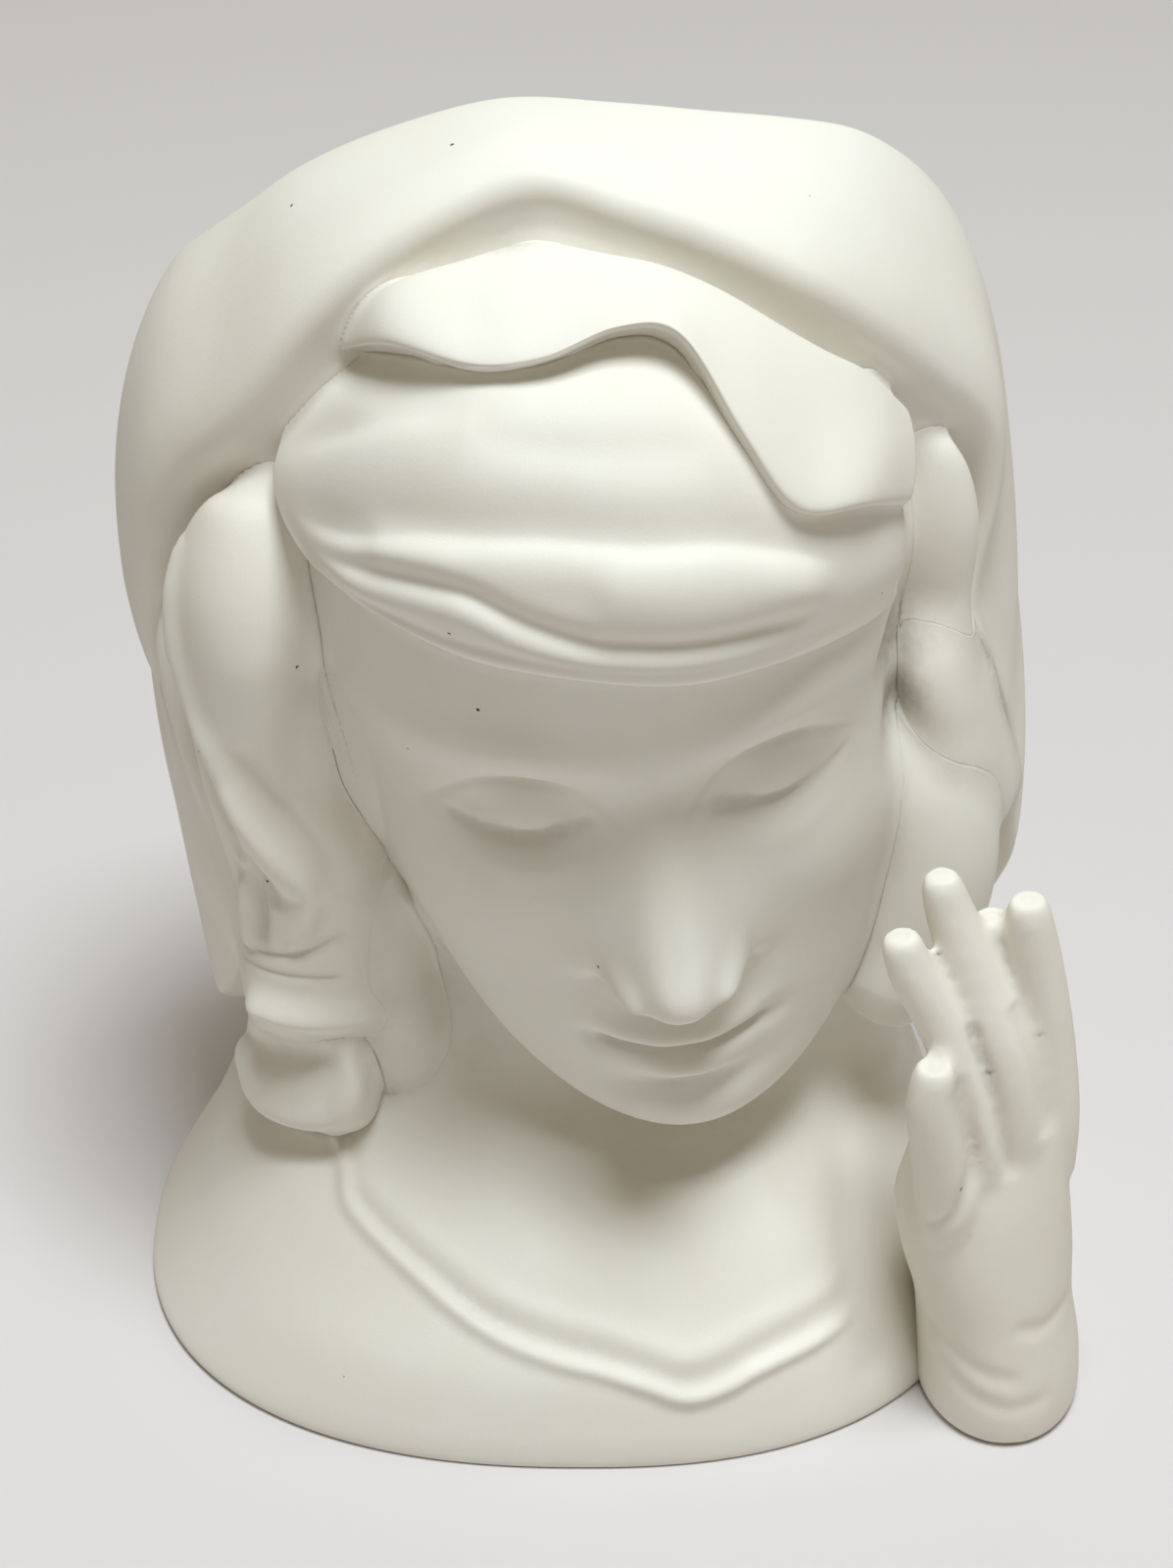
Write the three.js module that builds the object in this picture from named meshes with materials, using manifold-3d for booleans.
// Porcelain head vase: a veiled lady's bowed head and bust, hollow and open at the top, with a
// raised left hand set against the bust. Millimetres, +Z up, the front towards -Y, the origin on
// the flat foot under the middle of the mouth. The casting is divided along its relief grooves.

import * as THREE from 'three';
import Module from 'manifold-3d';

const wasm = await Module();
wasm.setup();

// Driving sizes of the body
const vaseHeight = 189;
const bodyHalfWidth = 65;
const bodyHalfDepth = 55;
const wall = 5;
const floorThickness = 5;
const jointGap = 0.3;

// The head follows the body's sizes, and the nose those of the head
const headHeightShare = 0.677;
const headHalfWidthShare = 0.677;
const headHalfDepthShare = 0.982;
const noseLengthShare = 0.258;
const noseHalfWidthShare = 0.182;
const noseHeightShare = 0.24;
const headHeight = headHeightShare * vaseHeight;
const headHalfWidth = headHalfWidthShare * bodyHalfWidth;
const headHalfDepth = headHalfDepthShare * bodyHalfDepth;
const noseLength = noseLengthShare * headHeight;
const noseHalfWidth = noseHalfWidthShare * headHalfWidth;
const noseHeight = noseHeightShare * headHalfDepth;

// How the head is held
const headBow = THREE.MathUtils.degToRad(13.5);
const headRoll = THREE.MathUtils.degToRad(-7.5);
const headTurn = THREE.MathUtils.degToRad(4.5);

// Driving sizes of the cloth, the hair and the neckline
const clothFoldDepth = 1.6;
const necklineHalfWidth = 1.6;
const rightLockHalfWidth = 11;
const rightBackLockHalfWidth = 5;
const rightCurlHalfWidth = 10;
const rightNapeLockHalfWidth = 6;
const templeLockHalfWidth = 6;
const sideLockHalfWidth = 8.5;
const longLockHalfWidth = 12;

// Driving sizes of the hand
const handHeight = 95;
const wristHalfWidth = 13;
const wristHalfDepth = 17;
const fingerHalfWidth = 4.2;
const thumbHalfWidth = 5;

// Rings of the bust from the foot to the top of the neck: height, left, right, front, back
const bustShares = [
  [0, 1.04, 0.94, -1.09, 0.94],
  [0.008, 1.055, 0.95, -1.1, 0.95],
  [0.032, 1.015, 0.93, -1.09, 0.955],
  [0.074, 0.94, 0.885, -1.045, 0.955],
  [0.111, 0.885, 0.845, -0.955, 0.945],
  [0.143, 0.83, 0.81, -0.855, 0.91],
  [0.164, 0.78, 0.78, -0.75, 0.8],
  [0.18, 0.735, 0.76, -0.63, 0.62],
  [0.196, 0.71, 0.75, -0.53, 0.47],
  [0.222, 0.7, 0.75, -0.43, 0.4],
  [0.275, 0.7, 0.77, -0.365, 0.36],
  [0.328, 0.72, 0.79, -0.345, 0.33],
  [0.39, 0.72, 0.78, -0.4, 0.3],
];
const bustPower = 2.35;

// Rings of the inside of the body before the wall is taken off: height, left, right, front, back
const wellShares = [
  [0, 0.99, 0.9, -1.06, 0.91],
  [0.063, 0.93, 0.87, -1.03, 0.92],
  [0.106, 0.86, 0.82, -0.93, 0.93],
  [0.143, 0.79, 0.79, -0.79, 0.94],
  [0.18, 0.75, 0.76, -0.57, 0.94],
  [0.222, 0.74, 0.76, -0.42, 0.94],
  [0.317, 0.76, 0.79, -0.365, 0.94],
  [0.397, 0.79, 0.84, -0.53, 0.96],
  [0.529, 0.85, 0.86, -0.76, 1.0],
  [0.688, 0.87, 0.83, -0.82, 1.0],
  [0.794, 0.85, 0.8, -0.74, 0.94],
  [0.873, 0.74, 0.75, -0.56, 0.9],
  [0.926, 0.58, 0.66, -0.42, 0.86],
  [0.968, 0.42, 0.52, -0.24, 0.8],
  [1.0, 0.31, 0.4, -0.09, 0.7],
  [1.05, 0.28, 0.36, -0.04, 0.7],
];
const wellFrontPower = 2;
const wellBackPower = 2.8;

// Rings of the head from under the chin to the crown, in its own frame: height, half width,
// front, back
const headShares = [
  [0, 0.14, 0.8, -0.6],
  [0.03, 0.36, 0.88, -0.42],
  [0.08, 0.53, 0.9, -0.22],
  [0.15, 0.68, 0.885, 0.02],
  [0.25, 0.8, 0.875, 0.28],
  [0.35, 0.88, 0.875, 0.52],
  [0.5, 0.94, 0.87, 0.85],
  [0.62, 0.97, 0.87, 1.0],
  [0.75, 0.93, 0.82, 1.0],
  [0.87, 0.76, 0.68, 0.86],
  [0.95, 0.48, 0.46, 0.6],
  [0.985, 0.16, 0.18, 0.2],
];
const headPower = 2.4;
const headCentreShare = [0.062, -0.055, 0.613];

// Soft swellings and hollows of the face: sideways, height above the middle, half width,
// half height, lift
const faceSwellShares = [
  [-0.39, 0.01, 0.24, 0.075, -0.055],
  [0.39, 0.01, 0.24, 0.075, -0.055],
  [-0.4, -0.004, 0.17, 0.045, 0.045],
  [0.4, -0.004, 0.17, 0.045, 0.045],
  [-0.38, 0.09, 0.34, 0.06, 0.012],
  [0.38, 0.09, 0.34, 0.06, 0.012],
  [0, -0.305, 0.25, 0.022, 0.06],
  [0, -0.352, 0.2, 0.024, 0.055],
  [0, -0.445, 0.25, 0.045, 0.045],
  [-0.55, -0.13, 0.3, 0.1, 0.03],
  [0.55, -0.13, 0.3, 0.1, 0.03],
];
const noseRootShare = 0.035;
const noseRootWidthShare = 0.55;
const noseRidgeShare = 0.85;
const noseEndShares = [0.88, 1.05];
const faceBunchShare = 0.56;

// The veil, column by column round the body from the middle of the brow: the mouth rim's
// point, the point of the front edge or hem, and how far the cloth stands out between them
const veilShares = [
  [[-0.17, -0.036, 0.997], [-0.12, -0.455, 0.966], 0.04],
  [[-0.4, 0.01, 0.971], [-0.354, -0.5, 0.931], 0.05],
  [[-0.585, 0.09, 0.934], [-0.523, -0.51, 0.878], 0.07],
  [[-0.723, 0.173, 0.892], [-0.677, -0.464, 0.799], 0.08],
  [[-0.825, 0.264, 0.858], [-0.815, -0.327, 0.728], 0.1],
  [[-0.865, 0.364, 0.839], [-0.915, -0.182, 0.635], 0.115],
  [[-0.87, 0.482, 0.824], [-0.931, -0.109, 0.545], 0.14],
  [[-0.845, 0.59, 0.815], [-0.8, -0.218, 0.481], 0.2],
  [[-0.79, 0.682, 0.809], [-0.731, -0.327, 0.423], 0.26],
  [[-0.72, 0.755, 0.804], [-0.738, -0.345, 0.349], 0.27],
  [[-0.63, 0.81, 0.8], [-0.785, -0.236, 0.265], 0.28],
  [[-0.52, 0.85, 0.797], [-0.862, 0.036, 0.19], 0.25],
  [[-0.395, 0.875, 0.795], [-0.877, 0.4, 0.143], 0.2],
  [[-0.265, 0.89, 0.794], [-0.708, 0.764, 0.116], 0.12],
  [[-0.135, 0.9, 0.793], [-0.369, 0.98, 0.106], 0.08],
  [[0, 0.9, 0.793], [0, 1.018, 0.106], 0.08],
  [[0.1, 0.9, 0.793], [0.338, 0.98, 0.106], 0.08],
  [[0.2, 0.895, 0.794], [0.615, 0.855, 0.116], 0.1],
  [[0.315, 0.885, 0.795], [0.862, 0.473, 0.143], 0.17],
  [[0.44, 0.865, 0.797], [0.885, 0.182, 0.201], 0.2],
  [[0.56, 0.83, 0.8], [0.931, 0.055, 0.296], 0.18],
  [[0.66, 0.775, 0.804], [0.969, -0.018, 0.37], 0.14],
  [[0.735, 0.71, 0.81], [0.962, -0.045, 0.434], 0.11],
  [[0.785, 0.63, 0.817], [0.923, -0.082, 0.508], 0.1],
  [[0.81, 0.54, 0.827], [0.838, -0.164, 0.571], 0.11],
  [[0.81, 0.45, 0.841], [0.815, -0.191, 0.635], 0.1],
  [[0.792, 0.355, 0.862], [0.823, -0.182, 0.709], 0.08],
  [[0.738, 0.255, 0.899], [0.808, -0.218, 0.778], 0.075],
  [[0.662, 0.155, 0.934], [0.692, -0.345, 0.823], 0.07],
  [[0.554, 0.073, 0.963], [0.554, -0.473, 0.868], 0.065],
  [[0.415, -0.009, 0.98], [0.415, -0.545, 0.907], 0.055],
  [[0.246, -0.045, 0.989], [0.246, -0.527, 0.934], 0.05],
  [[0.062, -0.055, 0.996], [0.077, -0.49, 0.952], 0.04],
];
const veilFocusShare = [0, 0.145, 0.635];
const veilDepthShare = 0.3;
const veilBowPower = 0.8;
const veilFoldCount = 11;

// The band of cloth under the veil, from the image's left to its right, each column from under
// the veil down to the tucked lower edge
const veilFoldShares = [
  [[-0.5, -0.4, 0.89], [-0.52, -0.52, 0.886], [-0.525, -0.575, 0.879], [-0.515, -0.61, 0.871],
    [-0.49, -0.56, 0.863]],
  [[-0.35, -0.38, 0.93], [-0.37, -0.55, 0.922], [-0.38, -0.65, 0.907], [-0.38, -0.71, 0.888],
    [-0.36, -0.66, 0.872]],
  [[-0.21, -0.36, 0.95], [-0.215, -0.56, 0.944], [-0.22, -0.71, 0.921], [-0.22, -0.835, 0.891],
    [-0.21, -0.79, 0.871]],
  [[-0.08, -0.35, 0.956], [-0.08, -0.56, 0.95], [-0.08, -0.71, 0.93], [-0.08, -0.86, 0.902],
    [-0.08, -0.82, 0.88]],
  [[0.06, -0.36, 0.956], [0.06, -0.56, 0.949], [0.06, -0.71, 0.934], [0.06, -0.85, 0.914],
    [0.06, -0.83, 0.89]],
  [[0.18, -0.38, 0.948], [0.18, -0.6, 0.939], [0.18, -0.75, 0.923], [0.175, -0.87, 0.901],
    [0.165, -0.84, 0.877]],
  [[0.31, -0.4, 0.926], [0.31, -0.62, 0.918], [0.305, -0.8, 0.892], [0.285, -0.95, 0.854],
    [0.265, -0.9, 0.842]],
  [[0.44, -0.4, 0.896], [0.44, -0.63, 0.888], [0.435, -0.82, 0.852], [0.4, -0.985, 0.808],
    [0.375, -0.92, 0.797]],
  [[0.57, -0.37, 0.868], [0.57, -0.58, 0.857], [0.57, -0.77, 0.82], [0.525, -0.91, 0.785],
    [0.51, -0.84, 0.776]],
  [[0.65, -0.3, 0.84], [0.665, -0.48, 0.826], [0.675, -0.6, 0.793], [0.65, -0.7, 0.763],
    [0.62, -0.66, 0.756]],
];
const bandDepthShare = 0.4;

// The hair swept over the forehead, from the image's left to its right, each column from under
// the band down to the tucked lower edge
const fringeShares = [
  [[-0.47, -0.5, 0.885], [-0.57, -0.49, 0.84], [-0.64, -0.49, 0.785], [-0.63, -0.55, 0.755],
    [-0.56, -0.7, 0.735], [-0.51, -0.66, 0.72]],
  [[-0.36, -0.62, 0.895], [-0.43, -0.73, 0.852], [-0.475, -0.8, 0.8], [-0.475, -0.855, 0.755],
    [-0.43, -0.87, 0.724], [-0.4, -0.78, 0.706]],
  [[-0.22, -0.69, 0.905], [-0.25, -0.89, 0.862], [-0.265, -0.99, 0.808], [-0.265, -1.045, 0.757],
    [-0.235, -1.015, 0.712], [-0.22, -0.9, 0.693]],
  [[-0.03, -0.71, 0.912], [-0.03, -0.93, 0.87], [-0.02, -1.055, 0.815], [-0.015, -1.12, 0.757],
    [-0.015, -1.09, 0.708], [-0.015, -0.96, 0.688]],
  [[0.155, -0.71, 0.91], [0.17, -0.92, 0.868], [0.185, -1.055, 0.81], [0.2, -1.11, 0.75],
    [0.2, -1.065, 0.7], [0.2, -0.94, 0.682]],
  [[0.33, -0.69, 0.893], [0.365, -0.86, 0.85], [0.4, -0.965, 0.795], [0.415, -0.99, 0.745],
    [0.4, -0.935, 0.698], [0.385, -0.83, 0.682]],
  [[0.5, -0.58, 0.868], [0.545, -0.69, 0.82], [0.575, -0.765, 0.777], [0.59, -0.78, 0.735],
    [0.57, -0.735, 0.695], [0.54, -0.67, 0.682]],
  [[0.61, -0.4, 0.84], [0.655, -0.49, 0.795], [0.675, -0.53, 0.755], [0.675, -0.545, 0.72],
    [0.645, -0.545, 0.687], [0.615, -0.53, 0.677]],
];
const fringeDepthShare = 0.4;

// Locks of hair: the points of the middle line, and at each the half width and half depth as
// shares of the lock's own half width
const lockTipShare = 0.32;
const lockTipPower = 8;
const rightLockShares = [
  [[-0.63, -0.24, 0.84], 0.9, 1.0],
  [[-0.67, -0.3, 0.75], 1.05, 1.1],
  [[-0.675, -0.37, 0.656], 1.15, 1.1],
  [[-0.645, -0.4, 0.582], 1.15, 1.2],
  [[-0.61, -0.37, 0.503], 1.0, 1.15],
  [[-0.595, -0.33, 0.434], 0.95, 1.1],
  [[-0.605, -0.31, 0.37], 0.85, 1.0],
  [[-0.615, -0.3, 0.315], 0.6, 0.7],
];
const rightBackLockShares = [
  [[-0.87, -0.16, 0.66], 0.6, 0.7],
  [[-0.87, -0.17, 0.59], 0.9, 1.0],
  [[-0.82, -0.23, 0.515], 1.0, 1.1],
  [[-0.755, -0.3, 0.45], 1.0, 1.1],
  [[-0.73, -0.33, 0.385], 0.9, 1.0],
  [[-0.74, -0.31, 0.318], 0.7, 0.8],
];
const rightCurlShares = [
  [[-0.81, -0.14, 0.24], 0.6, 0.6],
  [[-0.73, -0.25, 0.225], 0.88, 0.85],
  [[-0.64, -0.34, 0.226], 1.0, 0.95],
  [[-0.545, -0.4, 0.237], 1.0, 0.95],
  [[-0.475, -0.43, 0.247], 0.72, 0.7],
];
const rightNapeLockShares = [
  [[-0.48, -0.26, 0.35], 0.7, 0.8],
  [[-0.42, -0.34, 0.3], 1.0, 1.0],
  [[-0.395, -0.37, 0.262], 1.0, 1.0],
  [[-0.42, -0.37, 0.23], 0.7, 0.7],
];
const templeLockShares = [
  [[0.67, -0.25, 0.825], 0.7, 1.0],
  [[0.715, -0.28, 0.775], 0.95, 1.2],
  [[0.745, -0.27, 0.72], 1.0, 1.3],
  [[0.745, -0.26, 0.656], 1.05, 1.35],
  [[0.71, -0.27, 0.595], 0.85, 1.1],
];
const sideLockShares = [
  [[0.67, -0.29, 0.61], 0.55, 0.6],
  [[0.72, -0.33, 0.566], 0.95, 0.85],
  [[0.8, -0.27, 0.519], 1.0, 0.85],
  [[0.885, -0.15, 0.471], 0.75, 0.7],
  [[0.925, -0.06, 0.43], 0.5, 0.5],
];
const longLockShares = [
  [[0.67, -0.29, 0.545], 0.4, 0.5],
  [[0.735, -0.31, 0.487], 0.85, 0.8],
  [[0.77, -0.31, 0.423], 1.0, 0.9],
  [[0.745, -0.33, 0.36], 0.85, 0.8],
  [[0.68, -0.35, 0.307], 0.5, 0.55],
];

// The raised neckline: angle from the front as a share of a full turn, and place along the
// rings of the bust
const necklineShares = [
  [-0.13, 0.583],
  [-0.118, 0.52],
  [-0.109, 0.468],
  [-0.096, 0.439],
  [-0.079, 0.41],
  [-0.059, 0.374],
  [-0.028, 0.312],
  [0, 0.271],
  [0.016, 0.246],
  [0.031, 0.223],
  [0.046, 0.23],
  [0.06, 0.246],
  [0.08, 0.259],
  [0.112, 0.273],
];

// Rings of the wrist and palm: height, sideways and depth place, half width and half depth
const palmShares = [
  [0, 0.974, -0.71, 0.875, 0.94],
  [0.04, 0.974, -0.71, 0.915, 1.0],
  [0.19, 0.96, -0.73, 0.9, 0.9],
  [0.32, 0.925, -0.755, 1.0, 0.74],
  [0.44, 0.89, -0.78, 1.04, 0.6],
  [0.55, 0.88, -0.8, 0.93, 0.45],
  [0.63, 0.885, -0.81, 0.82, 0.35],
  [0.7, 0.89, -0.815, 0.66, 0.22],
];

// Fingers, tip first: sideways and depth place, height, half width
const fingerTipShare = 0.5;
const fingerRoundingShare = 0.125;
const fingerShares = {
  index: [
    [0.668, -0.885, 0.915, 0.62], [0.69, -0.875, 0.85, 0.8], [0.738, -0.86, 0.76, 0.86],
    [0.8, -0.85, 0.67, 0.95], [0.845, -0.83, 0.56, 1.0],
  ],
  middle: [
    [0.755, -0.81, 0.985, 0.62], [0.775, -0.8, 0.91, 0.8], [0.815, -0.8, 0.81, 0.84],
    [0.87, -0.8, 0.7, 0.92], [0.89, -0.8, 0.56, 1.0],
  ],
  ring: [
    [0.85, -0.755, 0.91, 0.6], [0.87, -0.755, 0.85, 0.75], [0.905, -0.77, 0.76, 0.84],
    [0.93, -0.785, 0.67, 0.9], [0.925, -0.8, 0.54, 0.95],
  ],
  little: [
    [0.93, -0.8, 0.945, 0.66], [0.95, -0.79, 0.87, 0.86], [0.975, -0.785, 0.77, 0.94],
    [0.985, -0.785, 0.65, 1.0], [0.98, -0.79, 0.52, 1.05],
  ],
};
const thumbShares = [
  [0.745, -0.98, 0.725, 0.55], [0.755, -0.965, 0.655, 0.78], [0.77, -0.94, 0.57, 0.86],
  [0.79, -0.905, 0.465, 1.0], [0.84, -0.855, 0.36, 1.1],
];

// Facet counts
const bustSideCount = 40;
const bustStepCount = 18;
const wellSideCount = 32;
const wellStepCount = 20;
const headSideCount = 36;
const headStepCount = 30;
const veilColumnCount = 66;
const veilRowCount = 7;
const bandColumnCount = 26;
const bandRowCount = 8;
const fringeColumnCount = 22;
const fringeRowCount = 10;
const lockSideCount = 12;
const lockStepCount = 12;
const necklineSideCount = 6;
const necklineStepCount = 30;
const palmSideCount = 20;
const palmStepCount = 14;
const fingerSideCount = 9;
const fingerStepCount = 9;

// The value between b and c on a smooth curve through four values
function between(a, b, c, d, t) {
  const bend = 2 * a - 5 * b + 4 * c - d;
  const twist = 3 * b - a - 3 * c + d;
  return b + 0.5 * t * (c - a + t * (bend + t * twist));
}

// A row of a table read at a share of its length, on a smooth curve through its rows
function rowAt(table, share, closed = false) {
  const count = table.length;
  const spot = share * (closed ? count : count - 1);
  const first = closed ? Math.floor(spot) : Math.min(Math.floor(spot), count - 2);
  const [a, b, c, d] = [first - 1, first, first + 1, first + 2].map((k) => (
    closed ? table[(k + count) % count] : table[THREE.MathUtils.clamp(k, 0, count - 1)]));
  return b.map((_, k) => between(a[k], b[k], c[k], d[k], spot - first));
}

// A place in the body, from its shares of half width, half depth and height
function place([x, y, z]) {
  return new THREE.Vector3(x * bodyHalfWidth, y * bodyHalfDepth, z * vaseHeight);
}

// Even steps from 0 to 1
function steps(count) {
  return Array.from({ length: count + 1 }, (_, k) => k / count);
}

// A raw closed surface: points, and triangles that face outwards
function surface(points, faces) {
  const volume = faces.reduce((sum, [a, b, c]) => (
    sum + points[a].dot(points[b].clone().cross(points[c]))), 0);
  return { points, faces: volume < 0 ? faces.map(([a, b, c]) => [a, c, b]) : faces };
}

// Rings of equal count, joined in a row and closed with a fan at either end
function loft(rings) {
  const sides = rings[0].length;
  const points = rings.flat();
  const faces = [];
  for (let j = 0; j + 1 < rings.length; j += 1) {
    for (let k = 0; k < sides; k += 1) {
      const [a, b] = [j * sides + k, j * sides + (k + 1) % sides];
      faces.push([a, b, b + sides], [a, b + sides, a + sides]);
    }
  }
  for (const [ring, base, turn] of [
    [rings[0], 0, true], [rings[rings.length - 1], (rings.length - 1) * sides, false]]) {
    const middle = points.length;
    points.push(ring.reduce((sum, p) => sum.add(p), new THREE.Vector3()).divideScalar(sides));
    for (let k = 0; k < sides; k += 1) {
      const [a, b] = [base + k, base + (k + 1) % sides];
      faces.push(turn ? [b, a, middle] : [a, b, middle]);
    }
  }
  return surface(points, faces);
}

// A grid of outer points and its inner copy, closed along their borders
function slab(outer, inner, round) {
  const [rows, columns] = [outer.length, outer[0].length];
  const points = [...outer.flat(), ...inner.flat()];
  const under = rows * columns;
  const at = (j, k) => j * columns + (k % columns);
  const faces = [];
  const quad = (a, b, c, d) => faces.push([a, b, c], [a, c, d]);
  const last = round ? columns : columns - 1;
  for (let j = 0; j + 1 < rows; j += 1) {
    for (let k = 0; k < last; k += 1) {
      const corners = [at(j, k), at(j, k + 1), at(j + 1, k + 1), at(j + 1, k)];
      quad(...corners);
      quad(...corners.map((c) => c + under).reverse());
    }
  }
  for (let k = 0; k < last; k += 1) {
    quad(at(0, k + 1), at(0, k), at(0, k) + under, at(0, k + 1) + under);
    const j = rows - 1;
    quad(at(j, k), at(j, k + 1), at(j, k + 1) + under, at(j, k) + under);
  }
  for (let j = 0; j + 1 < rows && !round; j += 1) {
    quad(at(j, 0), at(j + 1, 0), at(j + 1, 0) + under, at(j, 0) + under);
    const k = columns - 1;
    quad(at(j + 1, k), at(j, k), at(j, k) + under, at(j + 1, k) + under);
  }
  return surface(points, faces);
}

// The same surface with every point moved outwards along its normal
function grown({ points, faces }, by) {
  const normals = points.map(() => new THREE.Vector3());
  for (const [a, b, c] of faces) {
    const along = points[b].clone().sub(points[a]);
    const face = along.cross(points[c].clone().sub(points[a]));
    [a, b, c].forEach((k) => normals[k].add(face));
  }
  return { points: points.map((p, k) => p.clone().addScaledVector(normals[k].normalize(), by)), faces };
}

function solid({ points, faces }) {
  return new wasm.Manifold(new wasm.Mesh({
    numProp: 3,
    vertProperties: new Float32Array(points.flatMap((p) => p.toArray())),
    triVerts: new Uint32Array(faces.flat()),
  }));
}

// What is left of a raw surface once its neighbours, each with the joint gap round it, and the
// well are cut away; crumbs that a cut leaves loose are dropped
function fitted(raw, neighbours) {
  const cut = neighbours.reduce((left, other) => (
    left.subtract(solid(grown(other, jointGap)))), solid(raw).subtract(wellSolid));
  return cut.decompose().reduce((a, b) => (b.volume() > a.volume() ? b : a));
}

// A power of a value that keeps its sign
function powered(value, power) {
  return Math.sign(value) * Math.abs(value) ** power;
}

// A point of a ring at one height: a superellipse with its own reach to the left, right, front
// and back, turned from the front
function ovalPoint([height, left, right, front, back], turn, inset, frontPower, backPower) {
  const [across, ahead] = [Math.sin(turn), Math.cos(turn)];
  const power = 2 / (ahead > 0 ? frontPower : backPower);
  const reach = (across < 0 ? left : right) * bodyHalfWidth - inset;
  const halfDepth = (back - front) / 2 * bodyHalfDepth - inset;
  return new THREE.Vector3(
    powered(across, power) * reach,
    (front + back) / 2 * bodyHalfDepth - powered(ahead, power) * halfDepth,
    height * vaseHeight,
  );
}

function oval(row, inset, sides, frontPower, backPower) {
  return Array.from({ length: sides }, (_, k) => (
    ovalPoint(row, 2 * Math.PI * k / sides, inset, frontPower, backPower)));
}

function bustPoint(turnShare, share) {
  return ovalPoint(rowAt(bustShares, share), 2 * Math.PI * turnShare, 0, bustPower, bustPower);
}

function makeBust() {
  return loft(steps(bustStepCount).map((share) => (
    oval(rowAt(bustShares, share), 0, bustSideCount, bustPower, bustPower))));
}

function makeWell() {
  const rings = steps(wellStepCount).map((share) => (
    oval(rowAt(wellShares, share), wall, wellSideCount, wellFrontPower, wellBackPower)));
  rings.forEach((ring) => ring.forEach((p) => {
    p.z = Math.max(p.z, floorThickness);
  }));
  return loft(rings.filter((ring, k) => k === 0 || ring[0].z > floorThickness));
}

// The raised line of the neckline, half sunk in the bust
function makeNeckline() {
  const line = new THREE.CatmullRomCurve3(necklineShares.map((row) => bustPoint(...row)));
  return sweep(steps(necklineStepCount).map((share) => ({
    point: line.getPoint(share),
    halfWidth: necklineHalfWidth,
    halfDepth: necklineHalfWidth,
  })), necklineSideCount);
}

// Oval rings carried along a row of points, turned so that their depth faces away from the axis
function sweep(stations, sides) {
  const rings = stations.map(({ point, halfWidth, halfDepth }, j) => {
    const before = stations[Math.max(j - 1, 0)].point;
    const after = stations[Math.min(j + 1, stations.length - 1)].point;
    const along = after.clone().sub(before).normalize();
    const out = new THREE.Vector3(point.x, point.y, 0);
    out.addScaledVector(along, -out.dot(along)).normalize();
    const side = new THREE.Vector3().crossVectors(along, out);
    return Array.from({ length: sides }, (_, k) => {
      const turn = 2 * Math.PI * k / sides;
      return point.clone()
        .addScaledVector(side, Math.cos(turn) * halfWidth)
        .addScaledVector(out, Math.sin(turn) * halfDepth);
    });
  });
  return loft(rings);
}

// A lock of hair: a sweep that draws in to a blunt tip at either end
function makeLock(shares, halfWidth) {
  const table = shares.map(([point, width, depth]) => [...point, width, depth]);
  return sweep(steps(lockStepCount).map((share) => {
    const [x, y, z, width, depth] = rowAt(table, share);
    const tip = Math.max(Math.sqrt(1 - (2 * share - 1) ** lockTipPower), lockTipShare);
    return {
      point: place([x, y, z]),
      halfWidth: width * halfWidth * tip,
      halfDepth: depth * halfWidth * tip,
    };
  }), lockSideCount);
}

// A grid of points on smooth curves through columns of places
function patch(columnShares, columns, rows) {
  const lines = columnShares.map((column) => (
    steps(rows).map((share) => place(rowAt(column, share)).toArray())));
  return steps(rows).map((_, j) => steps(columns).map((share) => (
    new THREE.Vector3(...rowAt(lines.map((line) => line[j]), share)))));
}

// A patch of the skin with its body drawn in towards the middle of the well
function makePatch(columnShares, columns, rows, depthShare) {
  const outer = patch(columnShares, columns, rows);
  return slab(outer, outer.map((row) => row.map((p) => drawnIn(p, depthShare))), false);
}

function drawnIn(point, share) {
  const focus = place(veilFocusShare);
  focus.z = Math.min(focus.z, point.z);
  return point.clone().lerp(focus, share);
}

// The veil: straight columns from the rim to the edge, bowed out by a half sine, with soft folds
// that deepen towards the hem at the back
function makeVeil() {
  const table = veilShares.map(([rim, edge, bow]) => [
    ...place(rim).toArray(), ...place(edge).toArray(), bow * bodyHalfWidth]);
  const columns = steps(veilColumnCount).slice(0, -1).map((share) => rowAt(table, share, true));
  const outer = steps(veilRowCount).map((down) => columns.map(([x, y, z, edgeX, edgeY, edgeZ, bow], k) => {
    const point = new THREE.Vector3(x, y, z).lerp(new THREE.Vector3(edgeX, edgeY, edgeZ), down);
    const out = point.clone().sub(drawnIn(point, 1)).normalize();
    const turn = 2 * Math.PI * k / veilColumnCount;
    const back = Math.max(-Math.cos(turn), 0);
    const fold = clothFoldDepth * back * down ** 2 * Math.cos(veilFoldCount * turn);
    return point.addScaledVector(out, bow * Math.sin(Math.PI * down) ** veilBowPower + fold);
  }));
  return slab(outer, outer.map((row) => row.map((p) => drawnIn(p, veilDepthShare))), true);
}

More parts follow.
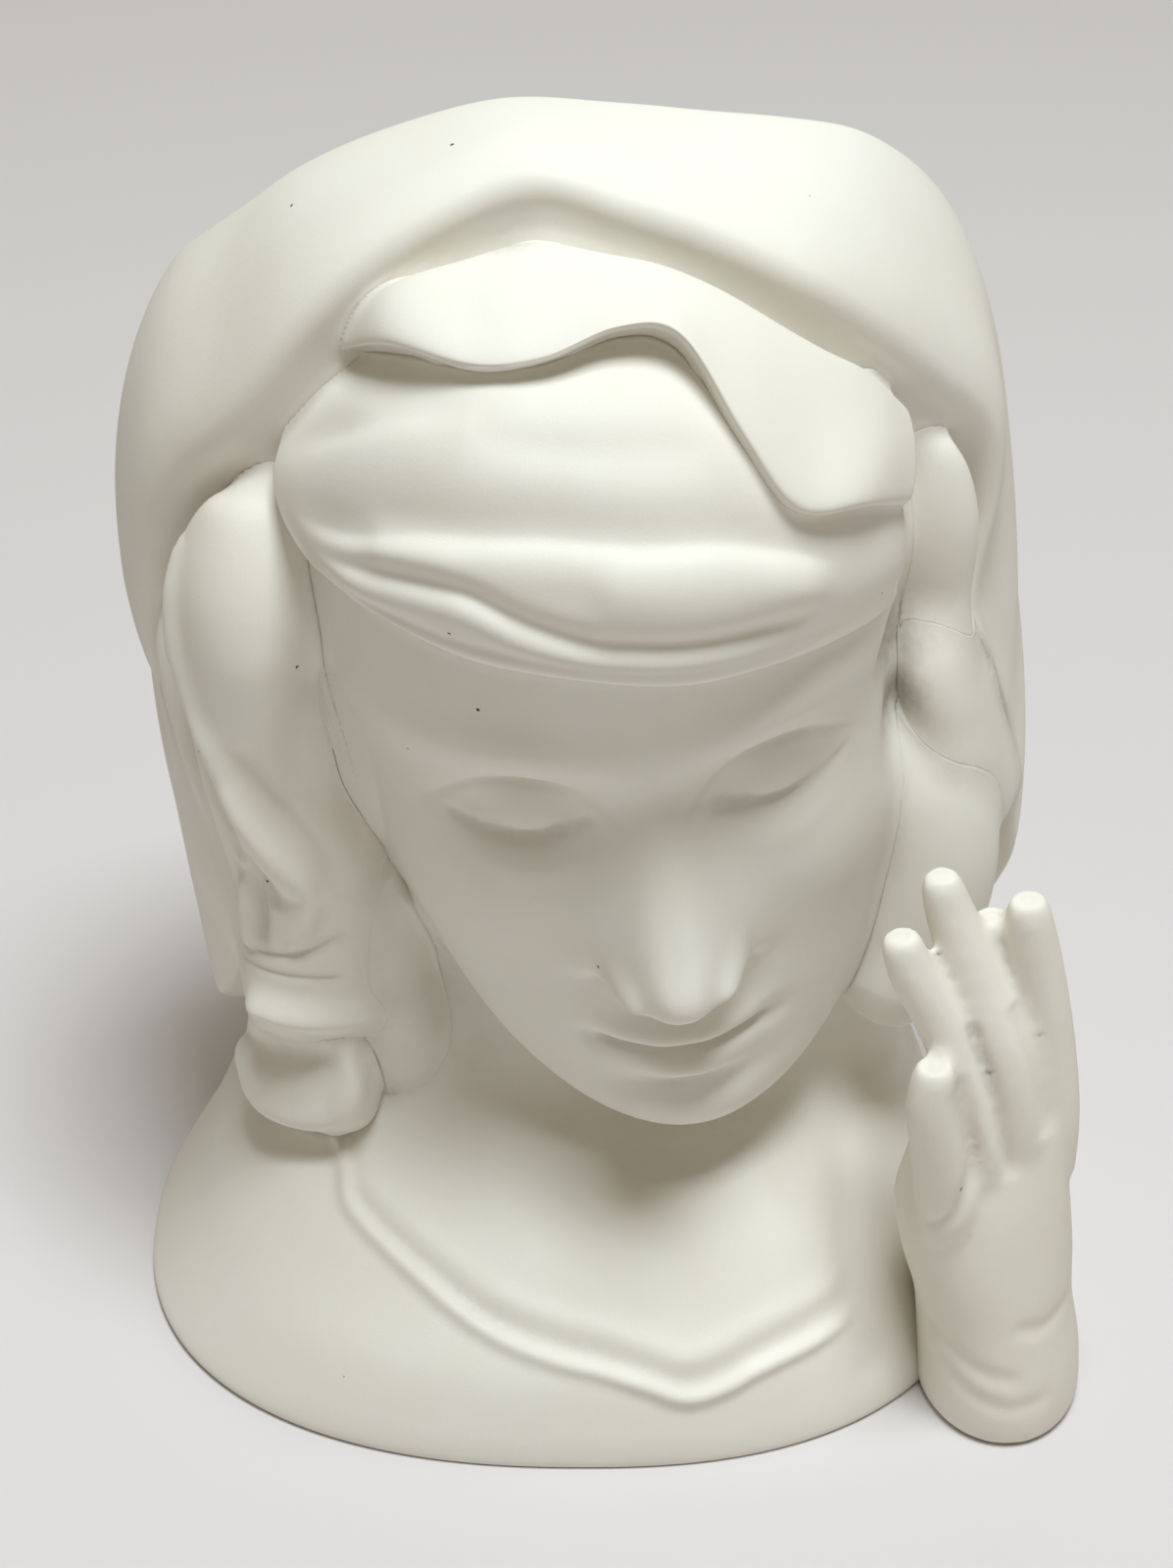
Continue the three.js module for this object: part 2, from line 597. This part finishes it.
// How far the face stands out at a place of the head's own frame
function faceLift(x, up) {
  const swell = faceSwellShares.reduce((sum, [sx, sup, sw, sh, lift]) => {
    const across = (x / headHalfWidth - sx) / sw;
    const rise = (up / headHeight - sup) / sh;
    return sum + lift * headHalfDepth * Math.exp(-across * across - rise * rise);
  }, 0);
  const down = (noseRootShare * headHeight - up) / noseLength;
  const slope = THREE.MathUtils.smoothstep(down, 0, noseRidgeShare);
  const end = 1 - THREE.MathUtils.smoothstep(down, ...noseEndShares);
  const across = x / (noseHalfWidth * THREE.MathUtils.lerp(noseRootWidthShare, 1, slope));
  return swell + noseHeight * slope * end * Math.exp(-across * across);
}

// The head: rings up its own axis, closer together over the face, then bowed, rolled and turned
function makeHead() {
  const pose = new THREE.Matrix4().makeRotationFromEuler(
    new THREE.Euler(headBow, headRoll, headTurn, 'ZYX'));
  pose.setPosition(place(headCentreShare));
  return loft(steps(headStepCount).map((share) => {
    const [height, width, front, back] = rowAt(headShares, share);
    const middle = (front - back) / 2 * headHalfDepth;
    const halfDepth = (front + back) / 2 * headHalfDepth;
    const up = (height - 0.5) * headHeight;
    return Array.from({ length: headSideCount }, (_, k) => {
      const even = k / headSideCount;
      const turn = 2 * Math.PI * even - faceBunchShare * Math.sin(2 * Math.PI * even);
      const [across, ahead] = [Math.sin(turn), Math.cos(turn)];
      const x = powered(across, 2 / headPower) * width * headHalfWidth;
      const forward = middle + powered(ahead, 2 / headPower) * halfDepth;
      const lift = ahead > 0 ? faceLift(x, up) * Math.min(2 * ahead, 1) : 0;
      return new THREE.Vector3(x, -forward - lift, up).applyMatrix4(pose);
    });
  }));
}

// The hand: a lofted wrist and palm with a tapered sweep for each finger
function makeHand() {
  const palm = loft(steps(palmStepCount).map((share) => {
    const [height, x, y, width, depth] = rowAt(palmShares, share);
    return Array.from({ length: palmSideCount }, (_, k) => {
      const turn = 2 * Math.PI * k / palmSideCount;
      return new THREE.Vector3(
        x * bodyHalfWidth + Math.cos(turn) * width * wristHalfWidth,
        y * bodyHalfDepth + Math.sin(turn) * depth * wristHalfDepth,
        height * handHeight,
      );
    });
  }));
  const fingers = Object.values(fingerShares).map((shares) => makeFinger(shares, fingerHalfWidth));
  return [...fingers, makeFinger(thumbShares, thumbHalfWidth)]
    .reduce((all, one) => all.add(solid(one)), solid(palm));
}

function makeFinger(shares, halfWidth) {
  return sweep(steps(fingerStepCount).map((share) => {
    const [x, y, height, width] = rowAt(shares, share);
    const rounded = Math.min(fingerTipShare + share / fingerRoundingShare * (1 - fingerTipShare), 1);
    return {
      point: new THREE.Vector3(x * bodyHalfWidth, y * bodyHalfDepth, height * handHeight),
      halfWidth: width * halfWidth * rounded,
      halfDepth: width * halfWidth * rounded,
    };
  }), fingerSideCount);
}

const wellSolid = solid(makeWell());
const head = makeHead();
const bust = makeBust();
const fringe = makePatch(fringeShares, fringeColumnCount, fringeRowCount, fringeDepthShare);
const band = makePatch(veilFoldShares, bandColumnCount, bandRowCount, bandDepthShare);
const rightLock = makeLock(rightLockShares, rightLockHalfWidth);
const rightBackLock = makeLock(rightBackLockShares, rightBackLockHalfWidth);
const rightCurl = makeLock(rightCurlShares, rightCurlHalfWidth);
const rightNapeLock = makeLock(rightNapeLockShares, rightNapeLockHalfWidth);
const templeLock = makeLock(templeLockShares, templeLockHalfWidth);
const sideLock = makeLock(sideLockShares, sideLockHalfWidth);
const longLock = makeLock(longLockShares, longLockHalfWidth);
const veil = makeVeil();

const pieces = {
  bust: fitted(bust, [head]).add(solid(makeNeckline())),
  head: fitted(head, []),
  fringe: fitted(fringe, [head]),
  veil_fold: fitted(band, [head, fringe]),
  right_lock: fitted(rightLock, [head, bust, fringe, band]),
  right_back_lock: fitted(rightBackLock, [head, bust, rightLock, fringe, band]),
  right_curl: fitted(rightCurl, [head, bust, rightLock, rightBackLock]),
  right_nape_lock: fitted(rightNapeLock, [head, bust, rightLock, rightBackLock, rightCurl]),
  left_temple_lock: fitted(templeLock, [head, bust, fringe, band]),
  left_side_lock: fitted(sideLock, [head, bust, fringe, band, templeLock]),
  left_long_lock: fitted(longLock, [head, bust, fringe, band, templeLock, sideLock]),
  veil: fitted(veil, [head, bust, fringe, band, rightLock, rightBackLock, rightCurl, rightNapeLock,
    templeLock, sideLock, longLock]),
  hand: makeHand().subtract(solid(grown(bust, jointGap))),
};

function bisque(color) {
  return new THREE.MeshStandardMaterial({ color, roughness: 0.7, metalness: 0 });
}

const vase = new THREE.Group();
for (const [name, piece] of Object.entries(pieces)) {
  const { vertProperties, triVerts } = piece.getMesh();
  const geometry = new THREE.BufferGeometry();
  geometry.setAttribute('position', new THREE.BufferAttribute(vertProperties, 3));
  geometry.setIndex(new THREE.BufferAttribute(triVerts, 1));
  geometry.computeVertexNormals();
  const mesh = new THREE.Mesh(geometry, bisque(0xf1ede4));
  mesh.name = name;
  vase.add(mesh);
}

export default vase;
